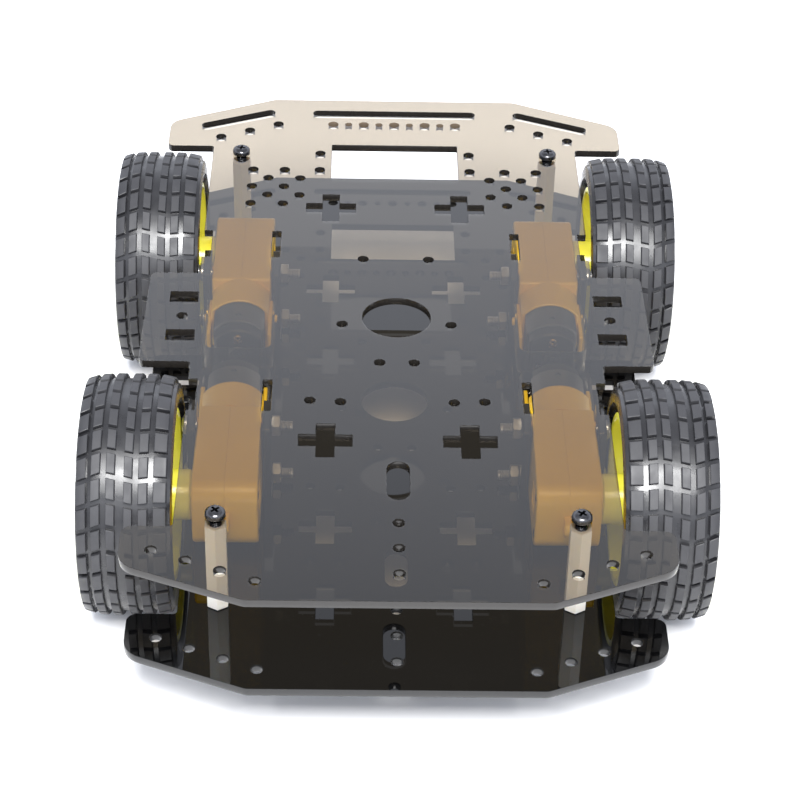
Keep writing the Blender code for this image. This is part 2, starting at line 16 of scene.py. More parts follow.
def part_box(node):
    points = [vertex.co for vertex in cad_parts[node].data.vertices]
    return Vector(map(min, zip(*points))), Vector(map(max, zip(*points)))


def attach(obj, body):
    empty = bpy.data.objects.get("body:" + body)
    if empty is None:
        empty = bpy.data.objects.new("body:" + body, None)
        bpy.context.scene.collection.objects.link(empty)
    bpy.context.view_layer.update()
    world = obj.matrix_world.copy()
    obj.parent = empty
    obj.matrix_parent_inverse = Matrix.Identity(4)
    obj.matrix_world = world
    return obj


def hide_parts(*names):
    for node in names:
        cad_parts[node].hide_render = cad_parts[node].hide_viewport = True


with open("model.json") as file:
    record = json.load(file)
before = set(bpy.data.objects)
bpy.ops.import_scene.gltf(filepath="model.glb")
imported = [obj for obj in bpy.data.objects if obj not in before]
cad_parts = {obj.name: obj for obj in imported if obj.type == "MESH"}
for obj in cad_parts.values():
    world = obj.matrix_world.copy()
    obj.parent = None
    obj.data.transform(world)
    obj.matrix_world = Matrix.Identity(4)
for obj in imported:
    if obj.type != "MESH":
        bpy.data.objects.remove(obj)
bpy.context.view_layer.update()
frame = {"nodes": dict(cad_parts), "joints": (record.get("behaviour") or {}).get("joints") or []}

MM = 0.001
CHASSIS = "chassis"

# ------------ sizes and places, from the frame

def centre(name):
    """The middle of a CAD node's box."""
    low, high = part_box(name)
    return [(low[i] + high[i]) / 2 for i in range(3)]


LOWER_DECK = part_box("lower_deck")
UPPER_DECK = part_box("upper_deck")
DECK_THICKNESS = UPPER_DECK[1].z - UPPER_DECK[0].z
DECK_HALF_LENGTH = UPPER_DECK[1].y

WHEELS = {joint["child"].removesuffix("_wheel"): Vector(joint["pos_m"]) for joint in frame["joints"]}
AXLE_Z = WHEELS["front_right"].z
WHEEL_X = WHEELS["front_right"].x

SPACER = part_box("front_right_spacer")
SPACER_LENGTH = SPACER[1].z - SPACER[0].z
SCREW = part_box("front_right_top_screw")
SCREW_LENGTH = SCREW[1].z - SCREW[0].z

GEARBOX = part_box("front_right_gearbox")
MOTOR_X = centre("front_right_gearbox")[0]
GEARBOX_HALF_WIDTH = 9.05 * MM
ARM_SIDE = (GEARBOX[1].x - GEARBOX[0].x) / 2
GEARBOX_HALF_HEIGHT = (GEARBOX[1].z - GEARBOX[0].z) / 2
EAR_TIP_Y = GEARBOX[1].y - WHEELS["front_right"].y
ARM_TAIL_Y = GEARBOX[0].y - WHEELS["front_right"].y
HOOD_TAIL_Y = ARM_TAIL_Y + 7.3 * MM
EAR_REACH = 4.5 * MM
NOSE_Y = EAR_TIP_Y - EAR_REACH
BOX_TAIL_Y = HOOD_TAIL_Y + 11.3 * MM
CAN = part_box("front_right_motor_can")
CAP_TAIL_Y = CAN[0].y - WHEELS["front_right"].y
CAN_TAIL_Y = CAP_TAIL_Y + 5.7 * MM

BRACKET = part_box("front_right_inner_bracket")
BRACKET_THICKNESS = BRACKET[1].x - BRACKET[0].x
BRACKET_X = {side: centre(f"front_right_{side}_bracket")[0] for side in ("inner", "outer")}
BRACKET_TOP = BRACKET[1].z - AXLE_Z
BRACKET_BOTTOM = BRACKET[0].z - AXLE_Z
SLOT_Y = {end: centre(f"{end}_right_inner_bracket")[1] for end in ("front", "rear")}
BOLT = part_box("front_right_upper_bolt")
BOLT_Y = SLOT_Y["front"] - WHEELS["front_right"].y
BOLT_HALF_SPACING = (centre("front_right_upper_bolt")[2] - centre("front_right_lower_bolt")[2]) / 2

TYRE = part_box("front_right_tyre")
TYRE_RADIUS = (TYRE[1].z - TYRE[0].z) / 2
TYRE_HALF_WIDTH = (TYRE[1].x - TYRE[0].x) / 2
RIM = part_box("front_right_rim")
RIM_HALF_WIDTH = RIM[1].x - WHEEL_X
HUB_START = RIM[0].x - WHEEL_X
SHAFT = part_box("front_right_output_shaft")

SCREW_RADIUS = 1.45 * MM
HOLE_RADIUS = 1.6 * MM
PILOT_RADIUS = 1.1 * MM
BOLT_HOLE_RADIUS = 1.7 * MM
SHAFT_HOLE_RADIUS = 3.0 * MM
HEAD_RADIUS = 2.75 * MM
SENSOR_ROW_Y = 109.8 * MM
ACRYLIC_IOR = 1.49


# ------------ material nodes

def new_material(name):
    made = bpy.data.materials.new(name)
    made.use_nodes = True
    tree = made.node_tree
    tree.nodes.clear()
    return made, tree


def node(tree, kind, inputs=None, **settings):
    """Adds a node; inputs maps a socket's name or number to a value or to another node's output."""
    made = tree.nodes.new("ShaderNode" + kind)
    for key, value in settings.items():
        setattr(made, key, value)
    for key, value in (inputs or {}).items():
        if isinstance(value, bpy.types.NodeSocket):
            tree.links.new(value, made.inputs[key])
        else:
            made.inputs[key].default_value = value
    return made


def surface_coordinates(tree, stretch=(1, 1, 1)):
    """Object coordinates in metres, scaled along each axis."""
    place = node(tree, "TexCoord")
    return node(tree, "Mapping", {"Vector": place.outputs["Object"], "Scale": stretch}).outputs[0]


def noise(tree, scale, detail=2.0, stretch=(1, 1, 1), roughness=0.5):
    return node(tree, "TexNoise", {"Vector": surface_coordinates(tree, stretch), "Scale": scale,
                                   "Detail": detail, "Roughness": roughness}).outputs[0]


def ramp(tree, value, low, high, to_low, to_high):
    """Maps value from low..high to to_low..to_high, clamped."""
    return node(tree, "MapRange", {"Value": value, "From Min": low, "From Max": high,
                                   "To Min": to_low, "To Max": to_high}).outputs[0]


def blend(tree, share, first, second):
    """A colour between two colours, each a value or an output."""
    made = node(tree, "Mix", data_type="RGBA")
    for index, value in ((0, share), (6, first), (7, second)):
        if isinstance(value, bpy.types.NodeSocket):
            tree.links.new(value, made.inputs[index])
        else:
            made.inputs[index].default_value = value if index == 0 else (*value, 1)
    return made.outputs[2]


def calculate(tree, operation, *values):
    return node(tree, "Math", dict(enumerate(values)), operation=operation).outputs[0]


def bump(tree, height, distance, strength):
    return node(tree, "Bump", {"Height": height, "Distance": distance, "Strength": strength}).outputs[0]


def principled(tree, inputs):
    return node(tree, "BsdfPrincipled", inputs)


def mixed(tree, share, first, second):
    return node(tree, "MixShader", {0: share, 1: first.outputs[0], 2: second.outputs[0]})


def output(tree, shader):
    node(tree, "OutputMaterial", {"Surface": shader.outputs[0]})


def sheet_roughness(tree):
    """Faint wipe marks and a few specks of dust on a high gloss."""
    wipes = noise(tree, 30, 4, (1.0, 0.25, 1.0), 0.6)
    specks = noise(tree, 900, 1)
    return calculate(tree, "ADD", ramp(tree, wipes, 0.45, 0.75, 0.008, 0.045),
                     ramp(tree, specks, 0.73, 0.77, 0.0, 0.2))


def sheet_waves(tree):
    return bump(tree, noise(tree, 14, 1), 0.02 * MM, 0.35)


def laser_marks(tree):
    """Fine upright lines on a cut edge."""
    return noise(tree, 1.0, 3, (1100, 1100, 60), 0.5)


def cut_edge(tree, marks, colour):
    return principled(tree, {"Base Color": colour, "Roughness": ramp(tree, marks, 0.3, 0.7, 0.14, 0.24),
                             "IOR": ACRYLIC_IOR, "Normal": bump(tree, marks, 0.008 * MM, 0.3)})


def smoked_acrylic_material():
    """Cast sheet that is see-through: each face takes half of its brown-grey tint, and shines at a slant."""
    made, tree = new_material("smoked_acrylic_sheet")
    tint = blend(tree, noise(tree, 18, 3), SMOKE_TINT, [value * 1.04 for value in SMOKE_TINT])
    clear = node(tree, "BsdfTransparent", {"Color": tint})
    waves = sheet_waves(tree)
    gloss = node(tree, "BsdfGlossy", {"Roughness": sheet_roughness(tree), "Normal": waves})
    shine = node(tree, "Fresnel", {"IOR": 1.7, "Normal": waves}).outputs[0]  # as much as both faces together
    outside = calculate(tree, "SUBTRACT", 1.0, node(tree, "NewGeometry").outputs["Backfacing"])
    output(tree, mixed(tree, calculate(tree, "MULTIPLY", shine, outside), clear, gloss))
    return made


def black_acrylic_material():
    """Cast sheet that lets no light through."""
    made, tree = new_material("black_acrylic_sheet")
    colour = blend(tree, noise(tree, 18, 3), (0.0008, 0.0008, 0.0009), (0.0014, 0.0014, 0.0015))
    output(tree, principled(tree, {"Base Color": colour, "Roughness": sheet_roughness(tree),
                                   "Normal": sheet_waves(tree), "IOR": ACRYLIC_IOR}))
    return made


def black_edge_material():
    made, tree = new_material("black_acrylic_cut_edge")
    marks = laser_marks(tree)
    output(tree, cut_edge(tree, marks, blend(tree, marks, (0.006, 0.006, 0.006), (0.012, 0.012, 0.012))))
    return made


def smoked_edge_material(name, top_highlight_tint):
    """Cut edge of the smoked sheet: dark from outside; from inside clear, with its own tint near the top,
    which on the hole walls is near white: a painted highlight band.

    The walls of the sensor row's holes get a painted brown glow in place of the light they catch.
    """
    made, tree = new_material(name)
    place = node(tree, "SeparateXYZ", {0: node(tree, "TexCoord").outputs["Object"]})
    # painted glow: walls in the sensor row get a brown base colour that stands in for light
    near_middle = calculate(tree, "COMPARE", place.outputs[0], 0.0, 26 * MM)
    in_row = calculate(tree, "COMPARE", place.outputs[1], SENSOR_ROW_Y, 2 * MM)
    painted_glow = calculate(tree, "MULTIPLY", near_middle, in_row)
    marks = laser_marks(tree)
    dark = blend(tree, marks, (0.010, 0.009, 0.008), (0.018, 0.016, 0.014))
    wall = cut_edge(tree, marks, blend(tree, painted_glow, dark, (0.12, 0.092, 0.066)))
    # upper band of the wall seen from inside; a lighter tint here paints a highlight line
    high = ramp(tree, place.outputs[2], 0.58 * DECK_THICKNESS, 0.64 * DECK_THICKNESS, 0.0, 1.0)
    clear = node(tree, "BsdfTransparent", {"Color": blend(tree, high, SMOKE_TINT, top_highlight_tint)})
    output(tree, mixed(tree, node(tree, "NewGeometry").outputs["Backfacing"], wall, clear))
    return made


def moulded_material(name, colour, shade, roughness=(0.26, 0.38), subsurface=0.0):
    """Injection-moulded plastic: slight flow marks, fine satin grain."""
    made, tree = new_material(name)
    flow = noise(tree, 55, 3, (1, 0.4, 1))
    fine = noise(tree, 2600, 2)
    output(tree, principled(tree, {
        "Base Color": blend(tree, flow, colour, shade), "Roughness": ramp(tree, flow, 0.3, 0.7, *roughness),
        "Normal": bump(tree, fine, 0.006 * MM, 0.6), "IOR": 1.5, "Subsurface Weight": subsurface,
        "Subsurface Scale": 1.5 * MM, "Subsurface Radius": (1.0, 0.8, 0.6)}))
    return made


def rubber_material():
    """Tyre rubber: lighter grey block tops, darker and glossier grooves, fine pores."""
    made, tree = new_material("tyre_rubber")
    place = node(tree, "TexCoord").outputs["Object"]
    split = node(tree, "SeparateXYZ", {0: place})
    across = node(tree, "CombineXYZ", {0: 0.0, 1: split.outputs[1], 2: split.outputs[2]})
    radius = node(tree, "VectorMath", {0: across.outputs[0]}, operation="LENGTH").outputs["Value"]
    block_top_share = ramp(tree, radius, TYRE_RADIUS - 1.6 * MM, TYRE_RADIUS - 0.7 * MM, 0.0, 1.0)
    dust = noise(tree, 160, 4, roughness=0.65)
    # the grooves get a darker base colour than the block tops
    grooves = blend(tree, dust, (0.008, 0.008, 0.009), (0.016, 0.016, 0.018))
    tops = blend(tree, dust, (0.014, 0.014, 0.016), (0.028, 0.028, 0.031))
    patches = ramp(tree, noise(tree, 220, 3), 0.3, 0.7, -0.07, 0.10)
    roughness = calculate(tree, "ADD", ramp(tree, block_top_share, 0.0, 1.0, 0.20, 0.55), patches)
    pores = bump(tree, noise(tree, 1800, 3, roughness=0.7), 0.03 * MM, 0.35)
    output(tree, principled(tree, {"Base Color": blend(tree, block_top_share, grooves, tops), "Roughness": roughness,
                                   "Normal": pores, "IOR": 1.52}))
    return made


def metal_material(name, colour, shade, roughness, scale=900, stretch=(1, 1, 1)):
    """Plated, blackened or bare metal with a drawn grain along the axis where stretch is small."""
    made, tree = new_material(name)
    grain = noise(tree, scale, 4, stretch, 0.6)
    output(tree, principled(tree, {
        "Base Color": blend(tree, grain, colour, shade), "Metallic": 1.0,
        "Roughness": ramp(tree, grain, 0.3, 0.7, *roughness), "Normal": bump(tree, grain, 0.01 * MM, 0.3)}))
    return made


def clear_plastic_material():
    """Thin clear plastic with a patchy haze; its shadow is the light that passes it, and not black."""
    made, tree = new_material("strap_clear_plastic")
    haze = noise(tree, 120, 3)
    plastic = principled(tree, {
        "Base Color": blend(tree, haze, (0.86, 0.88, 0.90), (0.93, 0.94, 0.95)),
        "Roughness": ramp(tree, haze, 0.3, 0.7, 0.10, 0.28), "IOR": 1.45, "Transmission Weight": 1.0})
    clear = node(tree, "BsdfTransparent", {"Color": (0.93, 0.93, 0.94, 1)})
    output(tree, mixed(tree, node(tree, "LightPath").outputs["Is Shadow Ray"], plastic, clear))
    return made


def floor_material():
    made, tree = new_material("studio_floor")
    mottle = noise(tree, 6, 3)
    output(tree, principled(tree, {
        "Base Color": blend(tree, mottle, (0.90, 0.90, 0.905), (0.93, 0.93, 0.93)),
        "Roughness": ramp(tree, mottle, 0.3, 0.7, 0.65, 0.8),
        "Normal": bump(tree, noise(tree, 700), 0.02 * MM, 0.2)}))
    return made


SMOKE_TINT = (0.565, 0.52, 0.445)  # of one face; the sheet's own is its square
SMOKED_SHEET = smoked_acrylic_material()
SMOKED_EDGE = smoked_edge_material("smoked_acrylic_cut_edge", SMOKE_TINT)
# the near-white top tint paints a bright highlight line along the top of each hole wall
SMOKED_HOLE = smoked_edge_material("smoked_acrylic_hole_wall", (1.0, 0.99, 0.97))
BLACK_SHEET = black_acrylic_material()
BLACK_EDGE = black_edge_material()
YELLOW_HOUSING = moulded_material("gearbox_yellow_plastic", (0.88, 0.57, 0.014), (0.93, 0.62, 0.020))
YELLOW_RIM = moulded_material("rim_yellow_plastic", (0.92, 0.89, 0.080), (0.95, 0.92, 0.110), (0.16, 0.28))
NYLON = moulded_material("spacer_milky_nylon", (0.78, 0.77, 0.72), (0.86, 0.85, 0.81), (0.32, 0.48), 0.4)
WHITE_PLASTIC = moulded_material("white_moulded_nylon", (0.80, 0.80, 0.77), (0.86, 0.86, 0.84), (0.28, 0.4))
CAP_PLASTIC = moulded_material("motor_cap_plastic", (0.014, 0.014, 0.015), (0.024, 0.024, 0.025),
                               (0.3, 0.45))
RUBBER = rubber_material()
BLACK_STEEL = metal_material("black_oxide_steel", (0.055, 0.055, 0.060), (0.11, 0.11, 0.115), (0.16, 0.34))
ZINC = metal_material("zinc_plated_steel", (0.48, 0.48, 0.49), (0.60, 0.60, 0.60), (0.26, 0.40))
CAN_STEEL = metal_material("drawn_steel_can", (0.17, 0.175, 0.185), (0.22, 0.225, 0.235), (0.34, 0.44),
                           500, (1, 0.3, 1))
BRASS = metal_material("terminal_brass", (0.72, 0.52, 0.24), (0.83, 0.62, 0.32), (0.2, 0.35))
CLEAR = clear_plastic_material()


# ------------ outlines

def circle(x, y, radius, count=28):
    turn = 2 * pi / count
    return [(x + radius * cos(turn * i), y + radius * sin(turn * i)) for i in range(count)]


def rounded(corners, steps=7):
    """Points of a closed outline from (x, y, corner radius) triples."""
    points = []
    for i, (x, y, radius) in enumerate(corners):
        if radius == 0:
            points.append((x, y))
            continue
        before = corners[i - 1]
        after = corners[(i + 1) % len(corners)]
        to_before = atan2(before[1] - y, before[0] - x)
        to_after = atan2(after[1] - y, after[0] - x)
        opening = (to_after - to_before) % (2 * pi)
        if opening > pi:
            opening -= 2 * pi
        middle = to_before + opening / 2
        centre_distance = radius / sin(abs(opening) / 2)
        cx, cy = x + centre_distance * cos(middle), y + centre_distance * sin(middle)
        sweep = (pi - abs(opening)) * (-1 if opening > 0 else 1)
        first = middle + pi - sweep / 2
        points += [(cx + radius * cos(first + sweep * k / steps),
                    cy + radius * sin(first + sweep * k / steps)) for k in range(steps + 1)]
    return points


def rectangle(x, y, length_x, length_y):
    radius, half_x, half_y = 0.25 * MM, length_x / 2, length_y / 2
    return rounded([(x - half_x, y - half_y, radius), (x + half_x, y - half_y, radius),
                    (x + half_x, y + half_y, radius), (x - half_x, y + half_y, radius)], 2)


def strip(start, end, half_width):
    return [(start, -half_width), (end, -half_width), (end, half_width), (start, half_width)]


def slot(x, y, length, width, angle=0.0):
    """A slot with round ends; length is from end to end."""
    steps = 10
    radius = width / 2
    reach = length / 2 - radius
    cosine, sine = cos(angle), sin(angle)
    points = []
    for end, start in ((1, -pi / 2), (-1, pi / 2)):
        for i in range(steps + 1):
            bend = start + pi * i / steps
            px, py = end * reach + radius * cos(bend), radius * sin(bend)
            points.append((x + px * cosine - py * sine, y + px * sine + py * cosine))
    return points


def cross(x, y, span, bar):
    """An upright plus-shaped opening."""
    far, near = span / 2, bar / 2
    points = []
    for turns in range(4):
        cosine, sine = cos(turns * pi / 2), sin(turns * pi / 2)
        points += [(x + px * cosine - py * sine, y + px * sine + py * cosine)
                   for px, py in ((near, near), (near, far), (-near, far))]
    return points


def hexagon(across_flats, start=0.0):
    radius = across_flats / 2 / cos(pi / 6)
    return [(radius * cos(start + pi * i / 3), radius * sin(start + pi * i / 3)) for i in range(6)]


def mirrored(loop):
    return [(-x, y) for x, y in loop]


def signed_area(loop):
    return sum(x0 * y1 - x1 * y0 for (x0, y0), (x1, y1) in zip(loop, loop[1:] + loop[:1])) / 2


def inset(loop, amount):
    """The loop moved to its left by amount at every side."""
    if not amount:
        return loop
    count = len(loop)
    shifted = []
    for i, (x, y) in enumerate(loop):
        normals = []
        for (ax, ay), (bx, by) in ((loop[i - 1], (x, y)), ((x, y), loop[(i + 1) % count])):
            length = hypot(bx - ax, by - ay)
            normals.append((-(by - ay) / length, (bx - ax) / length))
        (nx, ny), (mx, my) = normals
        share = amount / (1 + nx * mx + ny * my)
        shifted.append((x + (nx + mx) * share, y + (ny + my) * share))
    return shifted


# ------------ meshes

def plain_mesh(name, shape):
    data = bpy.data.meshes.new(name)
    shape.to_mesh(data)
    shape.free()
    return data


def add_object(name, data):
    made = bpy.data.objects.new(name, data)
    bpy.context.scene.collection.objects.link(made)
    return made


def mesh_from(name, shape, materials, sharp_degrees=32):
    data = plain_mesh(name, shape)
    for used in materials:
        data.materials.append(used)
    curved = [polygon.use_smooth for polygon in data.polygons]
    data.set_sharp_from_angle(angle=radians(sharp_degrees))
    data.polygons.foreach_set("use_smooth", curved)
    return data


def edge_profile(low, high, radius, steps):
    """(height, inset) stations of a flat piece whose two rims are rounded."""
    turns = [pi / 2 * i / steps for i in range(steps + 1)]
    rise = [(radius * (1 - cos(turn)), radius * (1 - sin(turn))) for turn in turns]
    bottom = [(low + height, back) for height, back in rise]
    return bottom + [(high - height, back) for height, back in reversed(rise)]


def prism(loops, stations, axis="Z", wall_material=0, hole_material=None):
    """A bmesh of an outline with holes, swept through (height, inset) stations and capped at both ends.

    Along Z the outline is (x, y), along X it is (y, z), and along Y it is (z, x).
    """
    loops = [loop if (signed_area(loop) > 0) == (index == 0) else loop[::-1]
             for index, loop in enumerate(loops)]
    order = {"Z": (0, 1, 2), "X": (2, 0, 1), "Y": (1, 2, 0)}[axis]
    shape = bmesh.new()
    rings = []
    for height, back in stations:
        ring = []
        for loop in loops:
            points = [(x, y, height) for x, y in inset(loop, back)]
            ring.append([shape.verts.new([point[i] for i in order]) for point in points])
        rings.append(ring)
    for below, above in zip(rings, rings[1:]):
        for index, (low, high) in enumerate(zip(below, above)):
            used = hole_material if index and hole_material else wall_material
            for i in range(len(low)):
                j = (i + 1) % len(low)
                wall = shape.faces.new((low[i], low[j], high[j], high[i]))
                wall.material_index = used
                wall.smooth = True
    flat = [[Vector((x, y, 0)) for x, y in inset(loop, stations[-1][1])] for loop in loops]
    triangles = tessellate_polygon(flat)
    corners = [point for loop in flat for point in loop]
    for ring, up in ((rings[0], False), (rings[-1], True)):
        vertices = [vertex for loop in ring for vertex in loop]
        for a, b, c in triangles:
            turning = (corners[b] - corners[a]).cross(corners[c] - corners[a]).z
            if abs(turning) < 1e-14:
                continue
            picked = [vertices[i] for i in ((a, b, c) if (turning > 0) == up else (c, b, a))]
            shape.faces.new(picked)
    return shape


def lathe(profile, segments, axis="X", closed=False):
    """A bmesh turned from (place along the axis, radius) points; open ends close on the axis."""
    shape = bmesh.new()
    order = {"X": (0, 1, 2), "Z": (1, 2, 0), "Y": (2, 0, 1)}[axis]
    rings = []
    for along, radius in profile:
        if radius < 1e-9:
            rings.append([shape.verts.new([(along, 0, 0)[i] for i in order])])
            continue
        ring = []
        for i in range(segments):
            turn = 2 * pi * i / segments
            point = (along, radius * cos(turn), radius * sin(turn))
            ring.append(shape.verts.new([point[i] for i in order]))
        rings.append(ring)
    pairs = list(zip(rings, rings[1:] + rings[:1])) if closed else list(zip(rings, rings[1:]))
    for first, second in pairs:
        for i in range(segments):
            j = (i + 1) % segments
            corners = [ring[k % len(ring)] for ring, k in ((first, i), (first, j), (second, j), (second, i))]
            unique = [corner for index, corner in enumerate(corners) if corner not in corners[:index]]
            if len(unique) > 2:
                shape.faces.new(unique).smooth = True
    bmesh.ops.recalc_face_normals(shape, faces=shape.faces)
    return shape


def peg(start, end, radius, end_radius=None, segments=24, axis="X"):
    """A round solid from start to end along an axis."""
    return lathe([(start, 0), (start, radius), (end, end_radius or radius), (end, 0)], segments, axis)


def merged(*shapes):
    """One bmesh that holds several."""
    whole = bmesh.new()
    for shape in shapes:
        held = plain_mesh("held", shape)
        whole.from_mesh(held)
        bpy.data.meshes.remove(held)
    return whole


def moved(shape, offset=(0, 0, 0), turn=0.0, axis="X"):
    shape.transform(Matrix.Translation(offset) @ Matrix.Rotation(turn, 4, axis))
    return shape


def combine(base, cutter, operation):
    """The Boolean of two bmeshes, as a bmesh."""
    objects = [add_object("boolean", plain_mesh("boolean", shape)) for shape in (base, cutter)]
    modifier = objects[0].modifiers.new("boolean", "BOOLEAN")
    modifier.operation = operation
    modifier.solver = "EXACT"
    modifier.use_self = True
    modifier.object = objects[1]
    bpy.context.view_layer.update()
    graph = bpy.context.evaluated_depsgraph_get()
    result = bpy.data.meshes.new_from_object(objects[0].evaluated_get(graph))
    for thing in objects:
        bpy.data.meshes.remove(thing.data)
    shape = bmesh.new()
    shape.from_mesh(result)
    bpy.data.meshes.remove(result)
    bmesh.ops.remove_doubles(shape, verts=shape.verts, dist=0.0005 * MM)
    bmesh.ops.dissolve_degenerate(shape, edges=shape.edges, dist=0.0005 * MM)
    return shape


def piece(name, data, body, replaced=(), location=(0, 0, 0), rotation=(0, 0, 0)):
    made = add_object(name, data)
    made.location = location
    made.rotation_euler = rotation
    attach(made, body)
    if replaced:
        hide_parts(*replaced)


# ------------ decks

SLOT_WIDTH = 2.7 * MM
SLOT_LENGTH = 14.4 * MM


def deck_outline():
    """Right half from the front edge round to the rear edge, then its mirror image."""
    well, tab, ear = 58.5 * MM, 73.3 * MM, 73.2 * MM
    right = [
        (39.6 * MM, DECK_HALF_LENGTH, 3 * MM),
        (tab, 110.4 * MM, 6 * MM),
        (tab, 94.8 * MM, 2 * MM),
        (well, 94.8 * MM, 1 * MM),
        *notch(well, SLOT_Y["front"]),
        (well, 20.8 * MM, 1 * MM),
        (ear, 20.8 * MM, 2 * MM),
        (ear, -24.5 * MM, 2 * MM),
        (well, -24.5 * MM, 1 * MM),
        *notch(well, SLOT_Y["rear"]),
        (well, -97.2 * MM, 1 * MM),
        (71.7 * MM, -97.2 * MM, 3 * MM),
        (71.7 * MM, -112.3 * MM, 7 * MM),
        (39.0 * MM, -DECK_HALF_LENGTH, 4 * MM),
    ]
    left = [(-x, y, radius) for x, y, radius in reversed(right)]
    return rounded(right + left)


def notch(edge, middle):
    """The open slot at a well's edge that holds an outer bracket."""
    inside = BRACKET_X["outer"] - SLOT_WIDTH / 2
    top, bottom = middle + SLOT_LENGTH / 2, middle - SLOT_LENGTH / 2
    return [(edge, top, 0), (inside, top, 0), (inside, bottom, 0), (edge, bottom, 0)]


def deck_holes():
    """Every opening of a deck; both decks are cut to the same drawing."""
    pitch = 10.0 * MM
    half = pitch / 2
    pairs = []
    for row in range(5):  # staggered screw field beside the servo window
        shift = 0 if row % 2 == 0 else -half
        y = 80.7 * MM - row * 5.05 * MM
        pairs += [circle(x + shift, y, HOLE_RADIUS) for x in (45.1 * MM, 35.05 * MM)]
    pairs += [circle(23.9 * MM, y, HOLE_RADIUS) for y in (91.1 * MM, 80.9 * MM)]
    for i in range(3):  # along the front bumper's slanted slot
        pairs.append(circle((38.0 + 9.2 * i) * MM, (109.5 - 4.25 * i) * MM, HOLE_RADIUS))
    for i in range(4):  # along the rear bumper's slant
        pairs.append(circle((36.4 + 9.0 * i) * MM, (-118.3 + 3.87 * i) * MM, HOLE_RADIUS))
    for x, y in ((9.85, 29.4), (15.8, -5.0), (4.9, -23.9), (24.3, -42.2), (15.8, -42.7), (62.3, -1.7)):
        pairs.append(circle(x * MM, y * MM, HOLE_RADIUS))
    for i in (1, 2):
        pairs.append(circle(i * pitch, SENSOR_ROW_Y, HOLE_RADIUS))
        pairs.append(circle(i * pitch - half, SENSOR_ROW_Y, PILOT_RADIUS, 20))
    for end, slot_y in SLOT_Y.items():
        x, y, _ = centre(f"{end}_right_spacer")
        pairs.append(circle(x, y, HOLE_RADIUS))
        pairs.append(rectangle(BRACKET_X["inner"], slot_y, SLOT_WIDTH, SLOT_LENGTH))
    pairs += [rectangle(62.3 * MM, y, 8.3 * MM, 5.3 * MM) for y in (8.1 * MM, -11.4 * MM)]
    pairs.append(cross(20.0 * MM, 58.2 * MM, 15.4 * MM, 5.2 * MM))
    pairs.append(cross(19.7 * MM, -60.3 * MM, 14.8 * MM, 5.2 * MM))
    pairs.append(slot(51.2 * MM, 112.6 * MM, 25.4 * MM, 3.2 * MM, radians(-23)))
    middle = [circle(0, y, HOLE_RADIUS) for y in (SENSOR_ROW_Y, -95.0 * MM, -105.0 * MM, -115.0 * MM)]
    middle += [
        circle(0, -1.4 * MM, 10.0 * MM, 72),
        slot(0, -77.4 * MM, 16.1 * MM, 6.2 * MM, pi / 2),
        slot(0, 117.0 * MM, 53.4 * MM, 3.2 * MM),
        rectangle(0, 86.0 * MM, 40.4 * MM, 21.0 * MM),
    ]
    return pairs + [mirrored(loop) for loop in pairs] + middle


def make_decks():
    """A deck's materials are its sheet's, its outline's cut edge's and its openings' walls'."""
    loops = [deck_outline()] + deck_holes()
    for name, box, finish, materials in (
            ("lower_deck", LOWER_DECK, "black_acrylic", [BLACK_SHEET, BLACK_EDGE, BLACK_EDGE]),
            ("upper_deck", UPPER_DECK, "smoked_acrylic", [SMOKED_SHEET, SMOKED_EDGE, SMOKED_HOLE])):
        shape = prism(loops, edge_profile(0, DECK_THICKNESS, 0.12 * MM, 2), wall_material=1, hole_material=2)
        sheet = mesh_from(f"{name}_sheet", shape, materials)
        piece(f"{name}_sheet", sheet, CHASSIS, [name], (0, 0, box[0].z))


# ------------ screws, nuts and spacers

def cross_recess(depth, half_length, half_width):
    """The tapered cross that a driver fits, opening upwards from the origin."""
    arms = []
    for turn in (0, pi / 2):
        outline = strip(-half_length, half_length, half_width)
        arm = prism([outline], [(-depth, half_width * 0.5), (0.3 * MM, -0.05 * MM)])
        arms.append(moved(arm, turn=turn, axis="Z"))
    return merged(*arms)


def pan_head_profile(radius, height):
    """(place, radius) of a domed pan head from its rim at 0 to its top."""
    top = [(0, radius - 0.12 * MM), (0.12 * MM, radius), (0.45 * height, radius)]
    for i in range(1, 8):
        turn = pi / 2 * i / 8
        top.append((0.45 * height + 0.55 * height * sin(turn), radius * (0.42 + 0.58 * cos(turn))))
    return top + [(height, radius * 0.2), (height, 0)]


def thread_profile(start, end):
    """(place, radius) ridges of a metric thread, with a chamfer at its end."""
    pitch, depth = 0.5 * MM, 0.16 * MM
    points = []
    count = int((end - start) / pitch)
    for i in range(count):
        at = start + i * pitch
        points += [(at, SCREW_RADIUS - depth), (at + 0.5 * pitch, SCREW_RADIUS)]
    return points + [(end - 0.1 * MM, SCREW_RADIUS - depth), (end, SCREW_RADIUS - 2 * depth), (end, 0)]


def machine_screw(name, head_height, plain, length, material_used):
    """A pan-head machine screw along +Z: head below the origin, threaded shank above it."""
    head = pan_head_profile(HEAD_RADIUS, head_height)
    profile = [(-along, radius) for along, radius in reversed(head)]
    profile += [(0, SCREW_RADIUS - 0.05 * MM), (plain, SCREW_RADIUS - 0.05 * MM)]
    profile += thread_profile(plain + 0.05 * MM, length)
    body = lathe(profile, 24, "Z")
    recess = moved(cross_recess(1.0 * MM, 1.35 * MM, 0.36 * MM), (0, 0, -head_height), pi, "X")
    return mesh_from(name, combine(body, recess, "DIFFERENCE"), [material_used])


def hex_nut():
    """An M3 nut along +Z with chamfered corners and a plain bore."""
    across_flats, height, chamfer = 5.5 * MM, 2.4 * MM, 0.3 * MM
    bore = SCREW_RADIUS + 0.03 * MM
    hexed = prism([hexagon(across_flats), circle(0, 0, bore, 24)], [(0, 0), (height, 0)])
    tip = across_flats / 2 / cos(pi / 6)
    face, side = tip - 0.45 * MM, tip + 0.02 * MM
    turned = lathe([(0, 0), (0, face), (chamfer, side), (height - chamfer, side), (height, face),
                    (height, 0)], 48, "Z")
    return mesh_from("hex_nut", combine(hexed, turned, "INTERSECT"), [ZINC])


